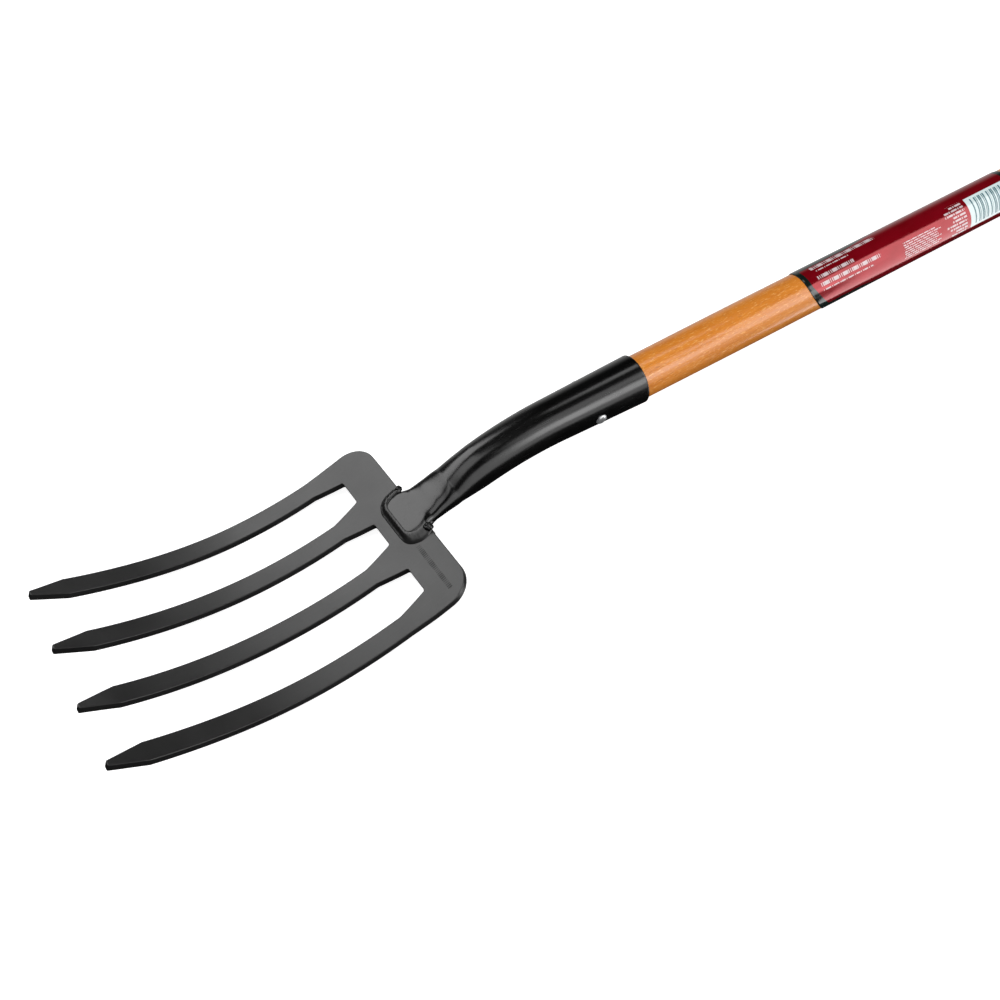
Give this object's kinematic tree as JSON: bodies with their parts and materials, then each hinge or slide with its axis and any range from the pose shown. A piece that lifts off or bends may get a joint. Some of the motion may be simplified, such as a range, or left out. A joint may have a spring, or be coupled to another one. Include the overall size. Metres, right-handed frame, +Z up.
{
  "type": "garden digging fork",
  "caption": "Digging fork: flat bent steel tines on one plate, bent tubular socket pressed and welded over it, riveted wooden shaft, pressed-steel D-grip with turned wooden bar.",
  "frame": {"origin": "bottom centre of the tool's bounding box as it lies on the floor, hollow side of the tines up", "axes": "+X along the shaft towards the grip, +Y across the head, +Z up from the floor"},
  "size_m": [1.0812, 0.18, 0.0557],
  "materials": {
    "head_paint": "satin black-grey paint on the tines and plate, darker on the sheared edges",
    "socket_paint": "semi-gloss black paint",
    "varnished_wood": "clear-varnished hardwood, honey orange, short dark grain flecks",
    "printed_wrap": "glossy printed film, deep red with dark end bands",
    "bright_steel": "bright zinc-plated steel"
  },
  "bodies": {
    "root": {"fork_head": "head_paint", "socket_tube": "socket_paint", "socket_weld_top": "socket_paint", "socket_weld_bottom": "socket_paint", "socket_rivet": "bright_steel", "handle_shaft": "varnished_wood", "wrap_label": "printed_wrap", "grip_yoke": "socket_paint", "yoke_rivet": "bright_steel", "grip_bar": "varnished_wood", "grip_rod": "bright_steel", "rod_washer_left": "bright_steel", "rod_washer_right": "bright_steel"}
  },
  "joints": []
}
